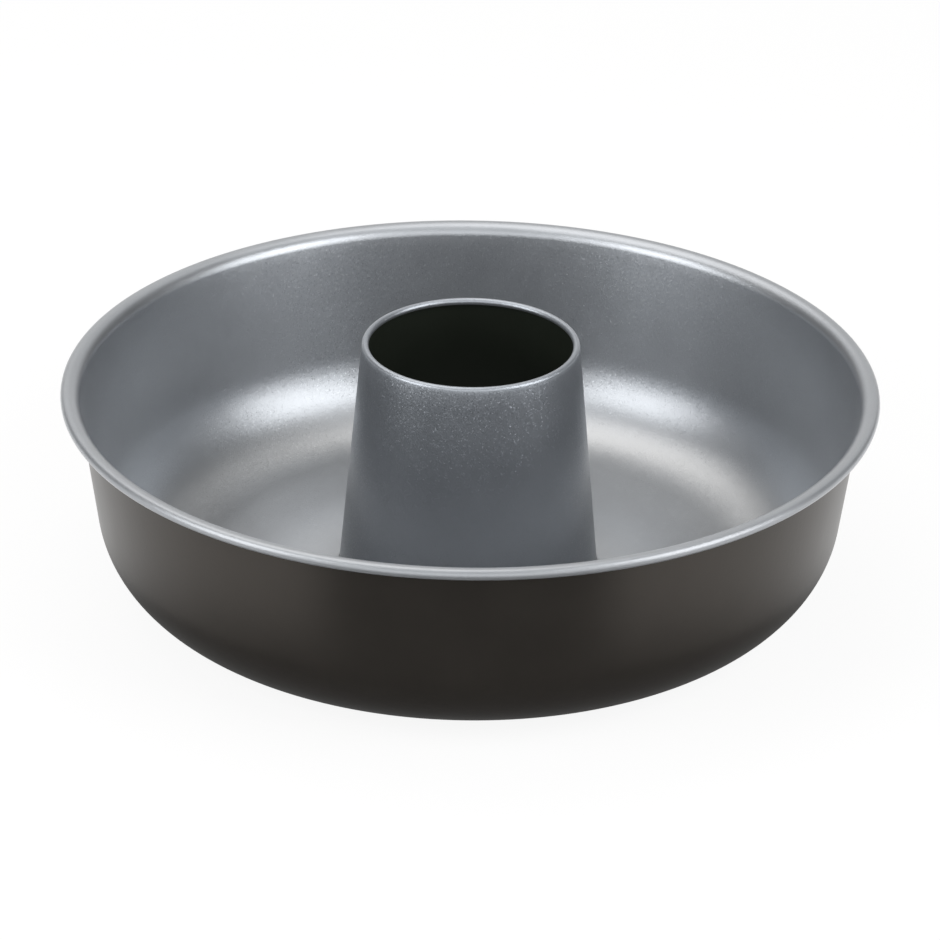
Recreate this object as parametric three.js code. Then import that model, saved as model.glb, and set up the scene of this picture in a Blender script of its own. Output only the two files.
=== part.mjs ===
// Ring cake pan: a drawn steel bowl with a rolled rim, and a separate tapered centre tube
// whose foot is locked to the bowl's floor by a folded seam. Millimetres, +Z up,
// origin on the table at the pan's axis.
import * as THREE from "three";

// Sheet and resolution
const SHEET = 0.5;
const TURN_STEPS = 48;
const FINE_ARC_STEPS = 3;
const CURL_STEPS = 6;
const RIM_FOLD_STEPS = 4;
const CORNER_STEPS = 8;
const FLOOR_STEPS = 6;

// Bowl
const RIM_DIAMETER = 280;
const RIM_HEIGHT = 74;
const RIM_CURL_DIAMETER = 3.6;
const RIM_CURL_END_DEG = -180;
const RIM_FLANGE_FLAT = 0.3;
const RIM_FOLD_RADIUS = 4.7;
const WALL_DRAFT_DEG = 7.6;
const CORNER_RADIUS = 33;
const FOOT_RING_WIDTH = 8;
const FLOOR_RISE = 3.2;

// Centre tube
const TUBE_TOP_DIAMETER = 74.6;
const TUBE_HEIGHT = 89;
const TUBE_TAPER_DEG = 5.3;
const LIP_CURL_DIAMETER = 2.4;
const LIP_CURL_END_DEG = 250;

// Locked seam between the tube's foot and the floor
const SEAM_GAP = 0.3;
const SEAM_HOOK = 2.6;
const SEAM_BEND_RADIUS = 0.6;
const SEAM_SHELF_MARGIN = 1.5;
const TUBE_STRAIGHT_ABOVE_FLOOR = 1;

// Finish of the two pieces
const DARK_COATING = { color: 0x3b3733, roughness: 0.45, metalness: 0.35 };
const GREY_COATING = { color: 0x6c7077, roughness: 0.4, metalness: 0.5 };

const half = SHEET / 2;
const point = (r, z) => new THREE.Vector2(r, z);
const draft = THREE.MathUtils.degToRad(WALL_DRAFT_DEG);
const taper = THREE.MathUtils.degToRad(TUBE_TAPER_DEG);

// Points of an arc about centre, from one angle to another in degrees.
function arc(centre, radius, fromDeg, toDeg, steps) {
  const start = THREE.MathUtils.degToRad(fromDeg);
  const sweep = THREE.MathUtils.degToRad(toDeg - fromDeg);
  return Array.from({ length: steps + 1 }, (_, i) => {
    const angle = start + (sweep * i) / steps;
    return point(centre.x + radius * Math.cos(angle), centre.y + radius * Math.sin(angle));
  });
}

// The sheet's middle line given thickness: one side out, the other side back, closed.
function sheetSection(middle) {
  const sides = [1, -1].map((side) =>
    middle.map((at, i) => {
      const before = middle[Math.max(i - 1, 0)];
      const after = middle[Math.min(i + 1, middle.length - 1)];
      const along = i === 0 || i === middle.length - 1 ? after.clone().sub(before).normalize() : null;
      const first = along ?? at.clone().sub(before).normalize();
      const second = along ?? after.clone().sub(at).normalize();
      const normal = point(-first.y - second.y, first.x + second.x).normalize();
      const mitre = 1 / (-first.y * normal.x + first.x * normal.y);
      return at.clone().addScaledVector(normal, side * half * mitre);
    }),
  );
  const outline = [...sides[0], ...sides[1].reverse()];
  const facingOut = THREE.ShapeUtils.isClockWise(outline) ? outline.reverse() : outline;
  return [...facingOut, facingOut[0].clone()];
}

// A section in (radius, height) turned about the pan's axis.
function turned(name, section, finish) {
  const geometry = new THREE.LatheGeometry(section, TURN_STEPS);
  geometry.rotateX(Math.PI / 2);
  const mesh = new THREE.Mesh(geometry, new THREE.MeshStandardMaterial(finish));
  mesh.name = name;
  return mesh;
}

// Heights of the four layers of the seam, on the sheet's middle: the floor's shelf,
// the tube's return leg, the bowl's hook and the tube's flange.
const layer = SHEET + SEAM_GAP;
const shelfZ = FLOOR_RISE + half;
const returnZ = shelfZ - layer;
const hookZ = returnZ - layer;
const flangeZ = hookZ - layer;

// Tube lip and cone, which set the radius of the seam.
const lipRadius = LIP_CURL_DIAMETER / 2 - half;
const lipCentre = point((TUBE_TOP_DIAMETER - LIP_CURL_DIAMETER) / 2, TUBE_HEIGHT - LIP_CURL_DIAMETER / 2);
const coneTop = point(
  lipCentre.x + lipRadius * Math.cos(taper),
  lipCentre.y + lipRadius * Math.sin(taper),
);
const coneFootZ = shelfZ + TUBE_STRAIGHT_ABOVE_FLOOR;
const tubeFootR = coneTop.x + (coneTop.y - coneFootZ) * Math.tan(taper);

// Seam radii: the bowl's collar stands round the tube, and its hook lies in the tube's fold.
const collarR = tubeFootR + layer;
const hookTipR = collarR + SEAM_BEND_RADIUS + SEAM_HOOK;
const foldR = hookTipR + SEAM_GAP + half;
const returnTipR = collarR + SEAM_BEND_RADIUS + SEAM_GAP;
const shelfEndR = foldR + half + SEAM_SHELF_MARGIN;

// Centre tube, from the end of its inward lip curl down the cone to the folded foot.
function tubeMiddleLine() {
  const lip = arc(lipCentre, lipRadius, LIP_CURL_END_DEG, TUBE_TAPER_DEG, CURL_STEPS);
  const bend = SEAM_BEND_RADIUS;
  return [
    ...lip,
    point(tubeFootR, coneFootZ),
    ...arc(point(tubeFootR + bend, flangeZ + bend), bend, 180, 270, FINE_ARC_STEPS),
    ...arc(point(foldR - bend, flangeZ + bend), bend, 270, 360, FINE_ARC_STEPS),
    ...arc(point(foldR - bend, returnZ - bend), bend, 0, 90, FINE_ARC_STEPS),
    point(returnTipR, returnZ),
  ];
}

// Rim, wall and base corner of the bowl, worked inwards from the rim's outer edge.
const curlRadius = RIM_CURL_DIAMETER / 2 - half;
const curlCentre = point((RIM_DIAMETER - RIM_CURL_DIAMETER) / 2, RIM_HEIGHT - RIM_CURL_DIAMETER / 2);
const foldRadius = RIM_FOLD_RADIUS - half;
const foldCentre = point(curlCentre.x - RIM_FLANGE_FLAT, RIM_HEIGHT - RIM_FOLD_RADIUS);
const wallTop = point(
  foldCentre.x - foldRadius * Math.cos(draft),
  foldCentre.y + foldRadius * Math.sin(draft),
);
const cornerMiddle = CORNER_RADIUS - half;
const wallLength = (wallTop.y - CORNER_RADIUS + cornerMiddle * Math.sin(draft)) / Math.cos(draft);
const cornerCentre = point(
  wallTop.x - wallLength * Math.sin(draft) - cornerMiddle * Math.cos(draft),
  CORNER_RADIUS,
);
const footInnerR = cornerCentre.x - FOOT_RING_WIDTH;

// Bowl, from its hook in the seam up the collar, out over the raised floor to the foot ring,
// round the corner, up the wall and out over the rim to the end of its curl.
function bowlMiddleLine() {
  const bend = SEAM_BEND_RADIUS;
  const floorReach = (footInnerR - shelfEndR) / 3;
  const floor = new THREE.CubicBezierCurve(
    point(shelfEndR, shelfZ),
    point(shelfEndR + floorReach, shelfZ),
    point(footInnerR - floorReach, half),
    point(footInnerR, half),
  );
  return [
    point(hookTipR, hookZ),
    ...arc(point(collarR + bend, hookZ + bend), bend, 270, 180, FINE_ARC_STEPS),
    ...arc(point(collarR + bend, shelfZ - bend), bend, 180, 90, FINE_ARC_STEPS),
    ...floor.getPoints(FLOOR_STEPS),
    ...arc(cornerCentre, cornerMiddle, -90, -WALL_DRAFT_DEG, CORNER_STEPS),
    ...arc(foldCentre, foldRadius, 180 - WALL_DRAFT_DEG, 90, RIM_FOLD_STEPS),
    ...arc(curlCentre, curlRadius, 90, RIM_CURL_END_DEG, CURL_STEPS),
  ];
}

const pan = new THREE.Group();
pan.add(turned("bowl_shell", sheetSection(bowlMiddleLine()), DARK_COATING));
pan.add(turned("center_tube", sheetSection(tubeMiddleLine()), GREY_COATING));

export default pan;
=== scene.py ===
from math import cos, pi, radians, sin, tan

import bpy
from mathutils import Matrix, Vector


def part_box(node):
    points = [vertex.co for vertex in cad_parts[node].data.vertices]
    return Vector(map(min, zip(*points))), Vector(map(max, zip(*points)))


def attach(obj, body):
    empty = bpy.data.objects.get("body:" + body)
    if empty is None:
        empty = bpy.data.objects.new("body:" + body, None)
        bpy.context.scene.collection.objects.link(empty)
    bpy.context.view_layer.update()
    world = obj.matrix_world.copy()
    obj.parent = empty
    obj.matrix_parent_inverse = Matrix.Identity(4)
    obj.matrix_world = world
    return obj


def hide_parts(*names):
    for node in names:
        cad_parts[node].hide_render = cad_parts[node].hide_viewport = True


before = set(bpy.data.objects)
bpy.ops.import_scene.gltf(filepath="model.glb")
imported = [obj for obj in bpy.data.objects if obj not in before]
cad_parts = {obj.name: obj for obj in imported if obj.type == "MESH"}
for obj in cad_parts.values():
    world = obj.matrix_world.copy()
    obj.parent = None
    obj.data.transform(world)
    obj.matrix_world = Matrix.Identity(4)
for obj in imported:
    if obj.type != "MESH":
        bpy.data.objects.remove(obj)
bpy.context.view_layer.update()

bowl_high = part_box("bowl_shell")[1]
tube_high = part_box("center_tube")[1]

# Sheet
SHEET = 0.0005
HALF = SHEET / 2
TURN_STEPS = 192
MERGE_DISTANCE = 1e-6
SMOOTH_ANGLE = radians(35)

# Bowl, with its angles in degrees
RIM_RADIUS = bowl_high.x
RIM_HEIGHT = bowl_high.z
RIM_CURL = 0.0036
RIM_CURL_END = -180
RIM_FLANGE_FLAT = 0.0003
RIM_FOLD = 0.0047
WALL_DRAFT = 7.6
CORNER = 0.033
FOOT_RING_WIDTH = 0.008
FLOOR_RISE = 0.0032

# Centre tube, whose lip stays a hair below the top of the CAD tube
HAIR = 0.00002
TUBE_TOP_RADIUS = 0.0373
TUBE_HEIGHT = tube_high.z - HAIR
TUBE_TAPER = 5.3
LIP_CURL = 0.0024
LIP_CURL_END = 250

# Locked seam between the tube's foot and the floor
SEAM_GAP = 0.00005
SEAM_HOOK = 0.0026
SEAM_BEND = 0.0005
SEAM_SHELF_MARGIN = 0.0015
TUBE_STRAIGHT_ABOVE_FLOOR = 0.001

# Steps of the round stretches and of the long straight ones
BEND_STEPS = 4
CURL_STEPS = 20
FOLD_STEPS = 12
CORNER_STEPS = 32
FLOOR_STEPS = 16
STRAIGHT_STEPS = 12

# Metal flakes in the grey coat: their fineness, the share that leans, how much the others lean,
# and the middle of their random colours, from which each flake's lean is measured
FLAKE_SCALE = 3000.0
FLAKE_SHARE = 0.3
FLAKE_UNREST = 0.15
FLAKE_MIDDLE = (0.5, 0.5, 0.5)

# Grey coat: tints of the walls and of the floor, and the clouds in which it is thin or thick
BOWL_COOL = (0.95, 1.0, 1.065)
TUBE_COOL = (0.93, 1.0, 1.095)
NEUTRAL = (0.98, 1.0, 1.02)
THIN = (0.94, 0.94, 0.94, 1)
THICK = (1.06, 1.06, 1.06, 1)
GREY_CLOUD_SCALE = 60.0
GREY_PEEL_SCALE = 700.0
GREY_PEEL = 0.05

# Heights and radii between which the grey coat changes, and by how much
FLOOR_TINT = (0.003, 0.012)
RIM_EDGE = (0.1335, 0.137)
RIM_MATT = 0.36
# Painted shade on the rim's outer curl: where it starts and how much darker
RIM_OUTSIDE = (0.1352, 0.137)
RIM_PAINTED_SHADE = 0.16
# Painted highlight on the tube's lip: where it starts and how much lighter
LIP_EDGE = (0.0865, 0.0878)
LIP_PAINTED_HIGHLIGHT = 0.4

# Dark coat
DARK_CLOUD_SCALE = 50.0
DARK_PEEL_SCALE = 600.0
DARK_PEEL = 0.15
DARK_ROUGHNESS = 0.3

# Clouds and orange peel of both coats
CLOUD_DETAIL = 4.0
CLOUD_ROUGHNESS = 0.06
PEEL_DETAIL = 2.0
PEEL_HEIGHT = 0.0001

# Camera, as the photograph's outlines place it
PHOTO_WIDTH = 940
FOCAL_PIXELS = 4628.4
SENSOR = 36.0
VIEW_DISTANCE = 1.6
VIEW_ELEVATION = 0.463
VIEW_ROLL = 0.013
VIEW_AIM = Vector((0.00024, 0, 0.04019))

# Floor
FLOOR_SIZE = 12.0
FLOOR_DROP = 0.0002
FLOOR_WHITE = (0.9, 0.9, 0.9, 1)
FLOOR_GLOW = 0.9

# Floor in gloss: a glowing white table, with a painted shadow under the pan and painted shade
# in a wedge close in front of it
TABLE_WHITE = 1.07
FRONT_DIM = 0.2
FRONT_SLANT = 1.2
FRONT_EDGE = (-0.142, -0.08)
FAR_FRONT = (-0.25, -0.45)
FAR_SHARE = 1.3
BASE_SHADE = (0.118, 0.165)
SHADE_CENTRE = (0, -0.04, 0)

# Room: its even fill, its brightness in gloss, and where that changes on a unit sphere round the pan
WORLD_FILL = 0.5
BACKDROP_WHITE = 1.05
SIDE_DIM = 0.25
SIDE_REACH = (0.38, 0.66)
CEILING_WHITE = 1.5
CEILING_REACH = (0.72, 0.95)
FRONT_LIGHT = 1.3
FRONT_REACH = (-0.62, -0.86)

# Lamps, and the colours of light
SOFTBOX_DISTANCE = 1.2
WHITE = (1.0, 1.0, 1.0)
WARM = (1.0, 0.975, 0.95)


class Paint:
    """A socket in a material's node tree. Arithmetic on it adds Math nodes."""

    def __init__(self, tree, socket=None):
        self.tree = tree
        self.socket = socket

    def add(self, kind, settings=None, sockets=None, output=0):
        """Adds a node with its settings, then its sockets' values or links, and gives one output."""
        node = self.tree.nodes.new(kind)
        for name, value in (settings or {}).items():
            setattr(node, name, value)
        for name, value in (sockets or {}).items():
            if isinstance(value, Paint):
                self.tree.links.new(value.socket, node.inputs[name])
            else:
                node.inputs[name].default_value = value
        return Paint(self.tree, node.outputs[output] if node.outputs else None)

    def maths(self, operation, first, second=0):
        return self.add("ShaderNodeMath", {"operation": operation}, {0: first, 1: second})

    def vectors(self, operation, sockets, output=0):
        return self.add("ShaderNodeVectorMath", {"operation": operation}, sockets, output)

    def along(self, vector, axis):
        """One coordinate of a vector."""
        return self.add("ShaderNodeSeparateXYZ", {}, {0: vector}, axis)

    def noise(self, spot, scale, detail):
        return self.add("ShaderNodeTexNoise", {}, {"Vector": spot, "Scale": scale, "Detail": detail})

    def mixed(self, share, first, second, blend="MIX"):
        """Two colours mixed by a share. A Mix node has them at inputs 6 and 7, and gives output 2."""
        settings = {"data_type": "RGBA", "blend_type": blend}
        return self.add("ShaderNodeMix", settings, {0: share, 6: first, 7: second}, 2)

    def rise(self, value, start, end):
        """0 on start's side of the range, 1 on end's side, and a smooth step between."""
        settings = {"interpolation_type": "SMOOTHSTEP"}
        sockets = {"Value": value, "From Min": start, "From Max": end}
        return self.add("ShaderNodeMapRange", settings, sockets)

    def __add__(self, other):
        return self.maths("ADD", self, other)

    def __radd__(self, other):
        return self.maths("ADD", other, self)

    def __sub__(self, other):
        return self.maths("SUBTRACT", self, other)

    def __rsub__(self, other):
        return self.maths("SUBTRACT", other, self)

    def __mul__(self, other):
        return self.maths("MULTIPLY", self, other)

    def __rmul__(self, other):
        return self.maths("MULTIPLY", other, self)


# Profiles in (radius, height)
def arc(centre, radius, start, end, steps):
    """Points of an arc, with angles in degrees from outwards towards upwards."""
    angles = [radians(start + (end - start) * i / steps) for i in range(steps + 1)]
    return [(centre[0] + radius * cos(a), centre[1] + radius * sin(a)) for a in angles]


def straight(start, end, steps):
    """Points between start and end, without the two ends."""
    shares = [i / steps for i in range(1, steps)]
    return [(start[0] + (end[0] - start[0]) * t, start[1] + (end[1] - start[1]) * t) for t in shares]


def slope(start, end, steps):
    """Points of a smooth step from one level to another."""
    shares = [i / steps for i in range(steps + 1)]
    return [
        (start[0] + (end[0] - start[0]) * t, start[1] + (end[1] - start[1]) * t * t * (3 - 2 * t))
        for t in shares
    ]


# Heights of the seam's layers on the sheet's middle: the floor's shelf, the tube's return leg,
# the bowl's hook and the tube's flange
layer = SHEET + SEAM_GAP
shelf_z = FLOOR_RISE + HALF
return_z = shelf_z - layer
hook_z = return_z - layer
flange_z = hook_z - layer

# Tube lip and cone, which set the radii of the seam
draft = radians(WALL_DRAFT)
taper = radians(TUBE_TAPER)
lip_radius = LIP_CURL / 2 - HALF
lip_centre = (TUBE_TOP_RADIUS - LIP_CURL / 2, TUBE_HEIGHT - LIP_CURL / 2)
cone_top = (lip_centre[0] + lip_radius * cos(taper), lip_centre[1] + lip_radius * sin(taper))
cone_foot_z = shelf_z + TUBE_STRAIGHT_ABOVE_FLOOR
tube_foot = cone_top[0] + (cone_top[1] - cone_foot_z) * tan(taper)
collar = tube_foot + layer
hook_tip = collar + SEAM_BEND + SEAM_HOOK
seam_fold = hook_tip + SEAM_GAP + HALF
return_tip = collar + SEAM_BEND + SEAM_GAP
shelf_end = seam_fold + HALF + SEAM_SHELF_MARGIN

# Rim, wall and base corner of the bowl, worked inwards from the rim's outer edge
curl_radius = RIM_CURL / 2 - HALF
curl_centre = (RIM_RADIUS - RIM_CURL / 2, RIM_HEIGHT - RIM_CURL / 2)
fold_radius = RIM_FOLD - HALF
fold_centre = (curl_centre[0] - RIM_FLANGE_FLAT, RIM_HEIGHT - RIM_FOLD)
wall_top = (fold_centre[0] - fold_radius * cos(draft), fold_centre[1] + fold_radius * sin(draft))
corner_radius = CORNER - HALF
wall_length = (wall_top[1] - CORNER + corner_radius * sin(draft)) / cos(draft)
wall_foot = (wall_top[0] - wall_length * sin(draft), wall_top[1] - wall_length * cos(draft))
corner_centre = (wall_foot[0] - corner_radius * cos(draft), CORNER)
foot_inner = corner_centre[0] - FOOT_RING_WIDTH


def bowl_middle_line():
    """From the hook in the seam, over the floor and up the wall to the end of the rim's curl."""
    return [
        (hook_tip, hook_z),
        *arc((collar + SEAM_BEND, hook_z + SEAM_BEND), SEAM_BEND, 270, 180, BEND_STEPS),
        *arc((collar + SEAM_BEND, shelf_z - SEAM_BEND), SEAM_BEND, 180, 90, BEND_STEPS),
        *slope((shelf_end, shelf_z), (foot_inner, HALF), FLOOR_STEPS),
        *arc(corner_centre, corner_radius, -90, -WALL_DRAFT, CORNER_STEPS),
        *straight(wall_foot, wall_top, STRAIGHT_STEPS),
        *arc(fold_centre, fold_radius, 180 - WALL_DRAFT, 90, FOLD_STEPS),
        *arc(curl_centre, curl_radius, 90, RIM_CURL_END, CURL_STEPS),
    ]


def tube_middle_line():
    """From the end of the lip's inward curl, down the cone to the folded foot."""
    return [
        *arc(lip_centre, lip_radius, LIP_CURL_END, TUBE_TAPER, CURL_STEPS),
        *straight(cone_top, (tube_foot, cone_foot_z), STRAIGHT_STEPS),
        (tube_foot, cone_foot_z),
        *arc((tube_foot + SEAM_BEND, flange_z + SEAM_BEND), SEAM_BEND, 180, 270, BEND_STEPS),
        *arc((seam_fold - SEAM_BEND, flange_z + SEAM_BEND), SEAM_BEND, 270, 360, BEND_STEPS),
        *arc((seam_fold - SEAM_BEND, return_z - SEAM_BEND), SEAM_BEND, 0, 90, BEND_STEPS),
        (return_tip, return_z),
    ]


# Pieces
def spun_line(name, middle):
    """A middle line, extruded point by point from a plane merged to one point, and spun about Z."""
    bpy.ops.object.select_all(action="DESELECT")
    bpy.ops.mesh.primitive_plane_add(size=SHEET, location=(middle[0][0], 0, middle[0][1]))
    sheet = bpy.context.object
    sheet.name = name
    bpy.ops.object.transform_apply(location=True, rotation=True, scale=True)
    bpy.ops.object.mode_set(mode="EDIT")
    bpy.ops.mesh.select_all(action="SELECT")
    bpy.ops.mesh.merge(type="CENTER")
    for (r, z), (next_r, next_z) in zip(middle, middle[1:]):
        step = {"value": (next_r - r, 0, next_z - z)}
        bpy.ops.mesh.extrude_vertices_move(TRANSFORM_OT_translate=step)
    bpy.ops.mesh.select_all(action="SELECT")
    bpy.ops.mesh.spin(steps=TURN_STEPS, angle=2 * pi, center=(0, 0, 0), axis=(0, 0, 1))
    bpy.ops.mesh.select_all(action="SELECT")
    bpy.ops.mesh.remove_doubles(threshold=MERGE_DISTANCE)
    bpy.ops.mesh.normals_make_consistent(inside=False)
    bpy.ops.object.mode_set(mode="OBJECT")
    return sheet


def face_channel(sheet, probe, towards):
    """Turns the sheet's normals to the side of the cake, as the face nearest the probe tells."""
    nearest = min(sheet.data.polygons, key=lambda face: (face.center - probe).length)
    if nearest.normal.dot(towards) < 0:
        bpy.ops.object.mode_set(mode="EDIT")
        bpy.ops.mesh.select_all(action="SELECT")
        bpy.ops.mesh.flip_normals()
        bpy.ops.object.mode_set(mode="OBJECT")


def thicken(sheet, cake_side, other_side):
    """Gives the sheet its thickness, with one coating on each side."""
    sheet.data.materials.append(cake_side)
    sheet.data.materials.append(other_side)
    wall = sheet.modifiers.new("wall", "SOLIDIFY")
    wall.thickness = SHEET
    wall.offset = 0
    wall.use_even_offset = True
    wall.material_offset = 1
    bpy.ops.object.modifier_apply(modifier=wall.name)
    bpy.ops.object.shade_smooth_by_angle(angle=SMOOTH_ANGLE)


def place(sheet, node):
    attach(sheet, "root")
    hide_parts(node)


def bowl(grey, dark):
    sheet = spun_line("bowl", bowl_middle_line())
    face_channel(sheet, Vector((wall_foot[0], 0, wall_foot[1])), Vector((-1, 0, 0)))
    thicken(sheet, grey, dark)
    place(sheet, "bowl_shell")


def tube(grey, dark):
    sheet = spun_line("tube", tube_middle_line())
    face_channel(sheet, Vector((cone_top[0], 0, cone_top[1])), Vector((1, 0, 0)))
    thicken(sheet, grey, dark)
    place(sheet, "center_tube")


# Finishes
def new_material(name):
    material = bpy.data.materials.new(name)
    material.use_nodes = True
    material.node_tree.nodes.clear()
    return material, Paint(material.node_tree)


def flake_normal(paint, spot, tilt):
    """The surface's normal broken up by metal flakes: a share of them leans, the others hardly."""
    flakes = {"Vector": spot, "Scale": FLAKE_SCALE}
    lean = paint.add("ShaderNodeTexVoronoi", {}, flakes, "Color")
    centre = paint.add("ShaderNodeTexVoronoi", {}, flakes, "Position")
    draw = paint.add("ShaderNodeTexWhiteNoise", {}, {"Vector": centre}, "Value")
    strength = tilt * (paint.maths("GREATER_THAN", draw, 1 - FLAKE_SHARE) + FLAKE_UNREST)
    surface = paint.add("ShaderNodeNewGeometry", output="Normal")
    lean = paint.vectors("SUBTRACT", {0: lean, 1: FLAKE_MIDDLE})
    lean = paint.vectors("SCALE", {0: lean, "Scale": strength})
    return paint.vectors("NORMALIZE", {0: paint.vectors("ADD", {0: lean, 1: surface})})


def grey_coating(name, light, tint, metal, clear, roughness, flake_tilt):
    """Grey non-stick coat: satin, with fine metal flakes and a faint orange peel, under a clear coat.
    It is more neutral on the floor and more matt on the rolled rim. Painted shade darkens the rim's
    outer curl, and a painted highlight lightens the lip."""
    material, paint = new_material(name)
    spot = paint.add("ShaderNodeTexCoord", output="Object")
    upwards = paint.along(spot, "Z")
    flat_spot = paint.vectors("MULTIPLY", {0: spot, 1: (1, 1, 0)})
    outwards = paint.vectors("LENGTH", {0: flat_spot}, "Value")
    clouds = paint.noise(spot, GREY_CLOUD_SCALE, CLOUD_DETAIL)
    neutral, cool = [[light * share for share in shade] + [1] for shade in (NEUTRAL, tint)]
    colour = paint.mixed(paint.rise(upwards, *FLOOR_TINT), neutral, cool)
    colour = paint.mixed(1.0, colour, paint.mixed(clouds, THIN, THICK), "MULTIPLY")
    # Painted highlight lightens the lip's colour, and painted shade darkens the rim's outer curl
    lip = LIP_PAINTED_HIGHLIGHT * paint.rise(upwards, *LIP_EDGE)
    rim = RIM_PAINTED_SHADE * paint.rise(outwards, *RIM_OUTSIDE)
    colour = paint.vectors("SCALE", {0: colour, "Scale": 1 + lip - rim})
    peel = {
        "Strength": GREY_PEEL,
        "Distance": PEEL_HEIGHT,
        "Height": paint.noise(spot, GREY_PEEL_SCALE, PEEL_DETAIL),
        "Normal": flake_normal(paint, spot, flake_tilt),
    }
    finish = {
        "Base Color": colour,
        "Metallic": metal - RIM_MATT * paint.rise(outwards, *RIM_EDGE),
        "Roughness": roughness - CLOUD_ROUGHNESS / 2 + CLOUD_ROUGHNESS * clouds,
        "Coat Weight": clear,
        "Coat Roughness": roughness,
        "Normal": paint.add("ShaderNodeBump", {}, peel),
    }
    shader = paint.add("ShaderNodeBsdfPrincipled", {}, finish)
    paint.add("ShaderNodeOutputMaterial", {}, {"Surface": shader})
    return material


def dark_coating(name, thin, thick, metal):
    """Dark coat of the side away from the cake: satin, smooth, with a faint orange peel."""
    material, paint = new_material(name)
    spot = paint.add("ShaderNodeTexCoord", output="Object")
    clouds = paint.noise(spot, DARK_CLOUD_SCALE, CLOUD_DETAIL)
    peel = {
        "Strength": DARK_PEEL,
        "Distance": PEEL_HEIGHT,
        "Height": paint.noise(spot, DARK_PEEL_SCALE, PEEL_DETAIL),
    }
    finish = {
        "Base Color": paint.mixed(clouds, thin, thick),
        "Metallic": metal,
        "Roughness": DARK_ROUGHNESS + CLOUD_ROUGHNESS * clouds,
        "Normal": paint.add("ShaderNodeBump", {}, peel),
    }
    shader = paint.add("ShaderNodeBsdfPrincipled", {}, finish)
    paint.add("ShaderNodeOutputMaterial", {}, {"Surface": shader})
    return material


# Studio: azimuth 0 is the camera's side, and positive is to its right
def ray_kind(paint, kind):
    """1 on rays of one kind, such as Is Camera Ray."""
    return paint.add("ShaderNodeLightPath", output=kind)


def seen_rays(paint):
    """1 on rays that show the background plainly: to the camera and through glass."""
    return ray_kind(paint, "Is Camera Ray") + ray_kind(paint, "Is Transmission Ray")


def studio_floor():
    """Pale floor that shows white and keeps the pan's soft shadow. In gloss it is a glowing white
    table, with a painted shadow under the pan and painted shade close in front of it."""
    bpy.ops.object.select_all(action="DESELECT")
    bpy.ops.mesh.primitive_plane_add(size=FLOOR_SIZE, location=(0, 0, -FLOOR_DROP))
    floor = bpy.context.object
    floor.name = "floor"
    material, paint = new_material("floor")
    spot = paint.add("ShaderNodeTexCoord", output="Object")
    sideways = paint.maths("ABSOLUTE", paint.along(spot, "X"))
    backwards = paint.along(spot, "Y")
    outwards = paint.vectors("DISTANCE", {0: spot, 1: SHADE_CENTRE}, "Value")
    # Painted shadow under the pan and painted shade in a wedge in front, in the floor's glow for gloss
    # rays
    beside = paint.rise(sideways + FRONT_SLANT * backwards, *FRONT_EDGE)
    far = FAR_SHARE * paint.rise(backwards, *FAR_FRONT)
    table = paint.maths("MAXIMUM", beside, far) * paint.rise(outwards, *BASE_SHADE)
    sheen = FRONT_DIM + (TABLE_WHITE - FRONT_DIM) * table
    matt = paint.add("ShaderNodeBsdfDiffuse", {}, {"Color": FLOOR_WHITE})
    glow = paint.add("ShaderNodeEmission", {}, {"Strength": 1.0})
    seen = paint.add("ShaderNodeMixShader", {}, {0: seen_rays(paint) * FLOOR_GLOW, 1: matt, 2: glow})
    mirrored = paint.add("ShaderNodeEmission", {}, {"Strength": sheen})
    in_gloss = ray_kind(paint, "Is Glossy Ray")
    shader = paint.add("ShaderNodeMixShader", {}, {0: in_gloss, 1: seen, 2: mirrored})
    paint.add("ShaderNodeOutputMaterial", {}, {"Surface": shader})
    floor.data.materials.append(material)


def studio_world():
    """White where it is seen, a plain even fill where it lights, and in gloss a white room that is dim
    at the pan's two sides and brighter above and behind the camera."""
    world = bpy.data.worlds.new("studio")
    bpy.context.scene.world = world
    world.use_nodes = True
    world.node_tree.nodes.clear()
    paint = Paint(world.node_tree)
    way = paint.add("ShaderNodeTexCoord", output="Generated")
    sideways = paint.maths("ABSOLUTE", paint.along(way, "X"))
    side = paint.rise(sideways, *SIDE_REACH)
    ceiling = paint.rise(paint.along(way, "Z"), *CEILING_REACH)
    front = paint.rise(paint.along(way, "Y"), *FRONT_REACH)
    wall_level = BACKDROP_WHITE - side * (BACKDROP_WHITE - SIDE_DIM)
    room_level = wall_level + ceiling * (CEILING_WHITE - wall_level) + FRONT_LIGHT * front
    fill = paint.add("ShaderNodeBackground", {}, {"Strength": WORLD_FILL})
    white = paint.add("ShaderNodeBackground", {}, {"Color": (*WHITE, 1), "Strength": 1.0})
    room = paint.add("ShaderNodeBackground", {}, {"Strength": room_level})
    lit = paint.add("ShaderNodeMixShader", {}, {0: seen_rays(paint), 1: fill, 2: white})
    in_gloss = ray_kind(paint, "Is Glossy Ray")
    shader = paint.add("ShaderNodeMixShader", {}, {0: in_gloss, 1: lit, 2: room})
    paint.add("ShaderNodeOutputWorld", {}, {"Surface": shader})


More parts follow.
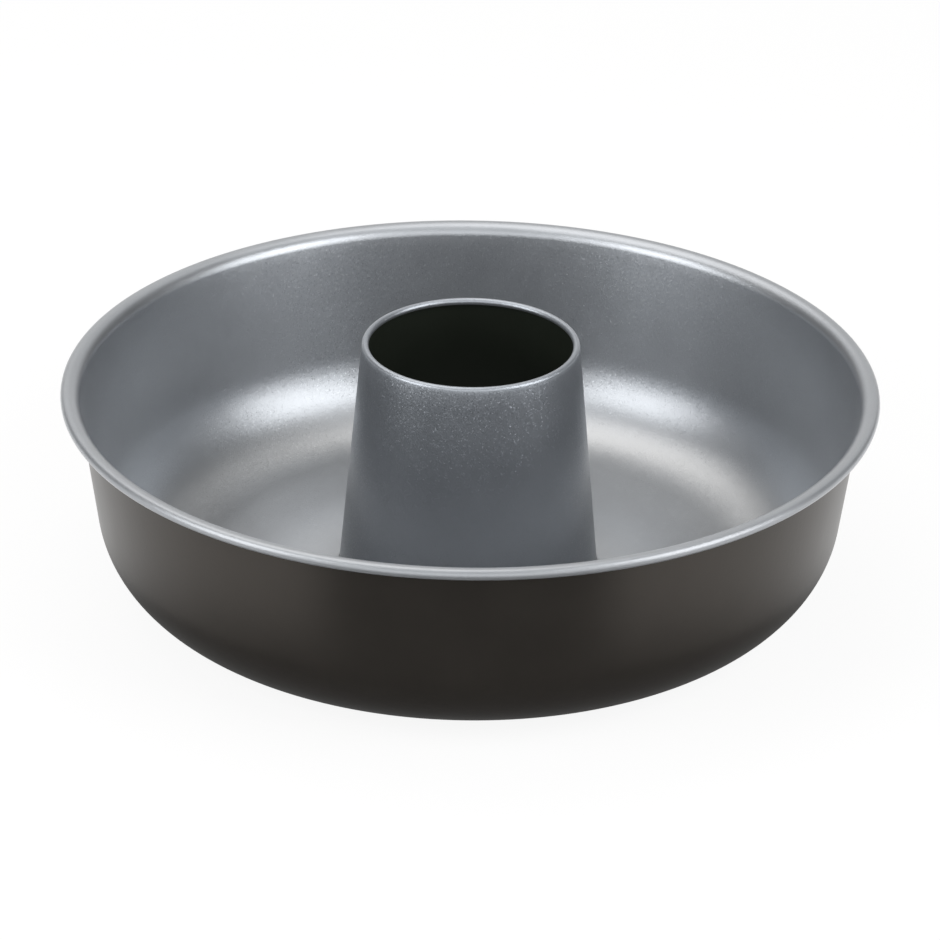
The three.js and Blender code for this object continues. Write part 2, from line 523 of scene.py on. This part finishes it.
def softbox(name, azimuth, elevation, width, height, brightness, colour):
    """A soft lamp that faces the pan, as bright as its face is to look at. Angles are in degrees."""
    a = radians(azimuth)
    e = radians(elevation)
    away = Vector((sin(a) * cos(e), -cos(a) * cos(e), sin(e)))
    bpy.ops.object.light_add(type="AREA", location=away * SOFTBOX_DISTANCE)
    lamp = bpy.context.object
    lamp.name = name
    lamp.rotation_euler = away.to_track_quat("Z", "Y").to_euler()
    lamp.data.shape = "RECTANGLE"
    lamp.data.size = width
    lamp.data.size_y = height
    lamp.data.energy = brightness * pi * width * height
    lamp.data.color = colour


def camera():
    """The photograph's camera: its distance, height and slight roll."""
    away = Vector((0, -cos(VIEW_ELEVATION), sin(VIEW_ELEVATION)))
    bpy.ops.object.camera_add(location=VIEW_AIM + away * VIEW_DISTANCE)
    view = bpy.context.object
    view.rotation_mode = "ZYX"
    view.rotation_euler = (pi / 2 - VIEW_ELEVATION, 0, VIEW_ROLL)
    view.data.sensor_width = SENSOR
    view.data.lens = SENSOR * FOCAL_PIXELS / PHOTO_WIDTH
    bpy.context.scene.camera = view


camera()
bowl_grey = grey_coating(
    "bowl_grey",
    light=0.31,
    tint=BOWL_COOL,
    metal=0.92,
    clear=1.0,
    roughness=0.365,
    flake_tilt=0.15,
)
tube_grey = grey_coating(
    "tube_grey",
    light=0.205,
    tint=TUBE_COOL,
    metal=0.72,
    clear=0.4,
    roughness=0.36,
    flake_tilt=0.26,
)
bowl_dark = dark_coating(
    "bowl_dark",
    thin=(0.043, 0.038, 0.033, 1),
    thick=(0.053, 0.047, 0.041, 1),
    metal=0.75,
)
# Tube's inside: the dark coat made darker and greener, with painted shade for the tube's hollow
tube_dark_with_painted_shade = dark_coating(
    "tube_dark_with_painted_shade",
    thin=(0.028, 0.034, 0.026, 1),
    thick=(0.036, 0.043, 0.033, 1),
    metal=0.6,
)
bowl(bowl_grey, bowl_dark)
tube(tube_grey, tube_dark_with_painted_shade)
studio_floor()
studio_world()
softbox(
    "right_softbox",
    azimuth=63,
    elevation=28.5,
    width=0.78,
    height=1.16,
    brightness=4.5,
    colour=WHITE,
)
softbox(
    "left_softbox",
    azimuth=-63,
    elevation=26,
    width=0.75,
    height=1.0,
    brightness=4.45,
    colour=WHITE,
)
softbox(
    "top_softbox",
    azimuth=-143,
    elevation=66,
    width=1.05,
    height=1.05,
    brightness=1.8,
    colour=WARM,
)
bpy.context.scene.view_settings.view_transform = "Standard"
